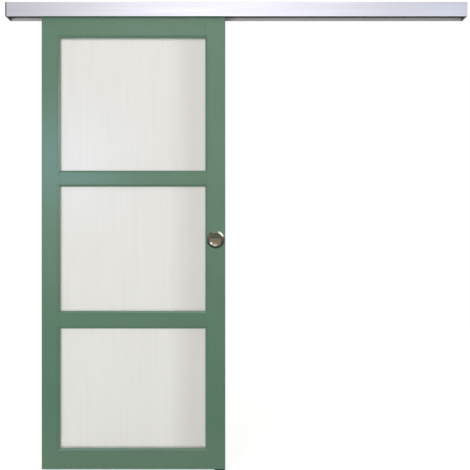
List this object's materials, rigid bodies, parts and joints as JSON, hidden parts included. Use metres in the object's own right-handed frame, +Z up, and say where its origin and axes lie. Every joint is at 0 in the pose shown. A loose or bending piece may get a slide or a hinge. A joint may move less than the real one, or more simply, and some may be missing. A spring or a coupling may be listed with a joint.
{
  "type": "glazed sliding door",
  "caption": "Wall-hung sliding door: painted wooden leaf with stacked frosted panes and round flush pulls, rolling on trolleys in an aluminium track behind a fascia.",
  "frame": {"origin": "centre of the track's back face, on the wall plane, halfway along the track", "axes": "+X along the wall in the opening direction of the leaf, +Y into the wall, +Z up"},
  "size_m": [2.08, 0.07, 2.115],
  "materials": {
    "painted_wood": "satin green paint",
    "frosted_glass": "frosted",
    "anodised_aluminium": "brushed",
    "dark_plastic": "moulded",
    "grey_plastic": "moulded",
    "zinc_casting": "die-cast",
    "plated_steel": "zinc plated",
    "polished_nickel": "polished",
    "nylon": "moulded",
    "rubber": "moulded",
    "glazing_rubber": "extruded",
    "beech": "bare"
  },
  "bodies": {
    "track": {"wall_track": "anodised_aluminium", "fascia": "anodised_aluminium", "fascia_clips": "grey_plastic", "left_end_cap": "dark_plastic", "right_end_cap": "dark_plastic", "left_stop": "zinc_casting", "right_stop": "zinc_casting", "left_buffer": "rubber", "right_buffer": "rubber", "stop_set_screws": "plated_steel", "floor_guide": "dark_plastic"},
    "leaf": {"left_trolley_block": "zinc_casting", "right_trolley_block": "zinc_casting", "left_stile": "painted_wood", "right_stile": "painted_wood", "top_rail": "painted_wood", "upper_mid_rail": "painted_wood", "lower_mid_rail": "painted_wood", "bottom_rail": "painted_wood", "frame_dowels": "beech", "setting_blocks": "glazing_rubber", "upper_glass": "frosted_glass", "upper_glazing_tape": "glazing_rubber", "upper_bead_sill": "painted_wood", "upper_bead_left": "painted_wood", "upper_bead_head": "painted_wood", "upper_bead_right": "painted_wood", "middle_glass": "frosted_glass", "middle_glazing_tape": "glazing_rubber", "middle_bead_sill": "painted_wood", "middle_bead_left": "painted_wood", "middle_bead_head": "painted_wood", "middle_bead_right": "painted_wood", "lower_glass": "frosted_glass", "lower_glazing_tape": "glazing_rubber", "lower_bead_sill": "painted_wood", "lower_bead_left": "painted_wood", "lower_bead_head": "painted_wood", "lower_bead_right": "painted_wood", "front_pull": "polished_nickel", "back_pull": "polished_nickel", "hanger_plate_screws": "plated_steel", "hanger_nuts": "plated_steel", "left_hanger_plate": "plated_steel", "left_hanger_bolt": "plated_steel", "left_trolley_axles": "plated_steel", "right_hanger_plate": "plated_steel", "right_hanger_bolt": "plated_steel", "right_trolley_axles": "plated_steel"},
    "left_wheel_1_front": {"left_wheel_1_front": "nylon"},
    "left_wheel_1_back": {"left_wheel_1_back": "nylon"},
    "left_wheel_2_front": {"left_wheel_2_front": "nylon"},
    "left_wheel_2_back": {"left_wheel_2_back": "nylon"},
    "right_wheel_1_front": {"right_wheel_1_front": "nylon"},
    "right_wheel_1_back": {"right_wheel_1_back": "nylon"},
    "right_wheel_2_front": {"right_wheel_2_front": "nylon"},
    "right_wheel_2_back": {"right_wheel_2_back": "nylon"}
  },
  "joints": [
    {"name": "leaf_slide", "type": "slide", "parent": "track", "child": "leaf", "axis": [1, 0, 0], "range_m": [0, 0.78]},
    {"name": "left_wheel_1_front_spin", "type": "hinge", "parent": "leaf", "child": "left_wheel_1_front", "pos_m": [-0.761, -0.046, -0.0007], "axis": [0, 1, 0], "continuous": true},
    {"name": "left_wheel_1_back_spin", "type": "hinge", "parent": "leaf", "child": "left_wheel_1_back", "pos_m": [-0.761, -0.026, -0.0007], "axis": [0, 1, 0], "continuous": true},
    {"name": "left_wheel_2_front_spin", "type": "hinge", "parent": "leaf", "child": "left_wheel_2_front", "pos_m": [-0.719, -0.046, -0.0007], "axis": [0, 1, 0], "continuous": true},
    {"name": "left_wheel_2_back_spin", "type": "hinge", "parent": "leaf", "child": "left_wheel_2_back", "pos_m": [-0.719, -0.026, -0.0007], "axis": [0, 1, 0], "continuous": true},
    {"name": "right_wheel_1_front_spin", "type": "hinge", "parent": "leaf", "child": "right_wheel_1_front", "pos_m": [-0.211, -0.046, -0.0007], "axis": [0, 1, 0], "continuous": true},
    {"name": "right_wheel_1_back_spin", "type": "hinge", "parent": "leaf", "child": "right_wheel_1_back", "pos_m": [-0.211, -0.026, -0.0007], "axis": [0, 1, 0], "continuous": true},
    {"name": "right_wheel_2_front_spin", "type": "hinge", "parent": "leaf", "child": "right_wheel_2_front", "pos_m": [-0.169, -0.046, -0.0007], "axis": [0, 1, 0], "continuous": true},
    {"name": "right_wheel_2_back_spin", "type": "hinge", "parent": "leaf", "child": "right_wheel_2_back", "pos_m": [-0.169, -0.026, -0.0007], "axis": [0, 1, 0], "continuous": true}
  ],
  "couplings": [
    {"joint": "left_wheel_1_front_spin", "follows": "leaf_slide", "rad_per_m": 100},
    {"joint": "left_wheel_1_back_spin", "follows": "leaf_slide", "rad_per_m": 100},
    {"joint": "left_wheel_2_front_spin", "follows": "leaf_slide", "rad_per_m": 100},
    {"joint": "left_wheel_2_back_spin", "follows": "leaf_slide", "rad_per_m": 100},
    {"joint": "right_wheel_1_front_spin", "follows": "leaf_slide", "rad_per_m": 100},
    {"joint": "right_wheel_1_back_spin", "follows": "leaf_slide", "rad_per_m": 100},
    {"joint": "right_wheel_2_front_spin", "follows": "leaf_slide", "rad_per_m": 100},
    {"joint": "right_wheel_2_back_spin", "follows": "leaf_slide", "rad_per_m": 100}
  ]
}
